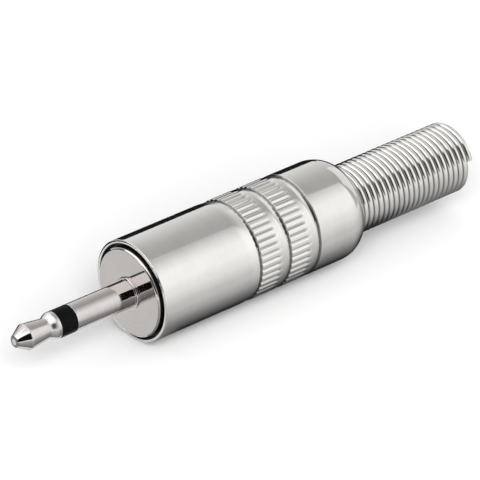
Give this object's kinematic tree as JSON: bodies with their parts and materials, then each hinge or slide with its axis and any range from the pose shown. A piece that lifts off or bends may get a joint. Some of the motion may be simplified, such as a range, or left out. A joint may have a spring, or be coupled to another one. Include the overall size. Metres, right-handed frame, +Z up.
{
  "type": "mini-jack plug",
  "caption": "Mono miniature jack plug with a grooved screw-on metal barrel, an insulated pin tip and a close-wound spring strain relief for its cord.",
  "frame": {"origin": "on the plug's axis, at the front face of the flange, which is the stop of the inserted pin", "axes": "-X out along the pin to the tip, +X back along the barrel to the strain relief, +Z up with the plug lying on its barrel"},
  "size_m": [0.0494, 0.0094, 0.0094],
  "materials": {
    "plated_brass": "polished",
    "black_plastic": "satin",
    "tinned_sheet": "satin",
    "fibre": "matte",
    "clear_tube": "satin",
    "spring_wire": "polished"
  },
  "bodies": {
    "plug_core": {"sleeve_contact": "plated_brass", "tip_contact": "plated_brass", "tip_insulator": "black_plastic", "insulating_washer": "fibre", "sleeve_lug": "tinned_sheet", "tip_lug": "tinned_sheet"},
    "tube": {"insulating_tube": "clear_tube"},
    "cover": {"barrel": "plated_brass", "strain_relief_spring": "spring_wire"}
  },
  "joints": [
    {"name": "barrel_draw", "type": "slide", "parent": "plug_core", "child": "tube", "axis": [1, 0, 0], "range_m": [0, 0.0038]},
    {"name": "barrel_unscrew", "type": "hinge", "parent": "tube", "child": "cover", "pos_m": [0, 0, 0], "axis": [1, 0, 0], "range_deg": [0, 2664]}
  ],
  "couplings": [
    {"joint": "barrel_draw", "follows": "barrel_unscrew", "m_per_rad": 0.000079577}
  ]
}
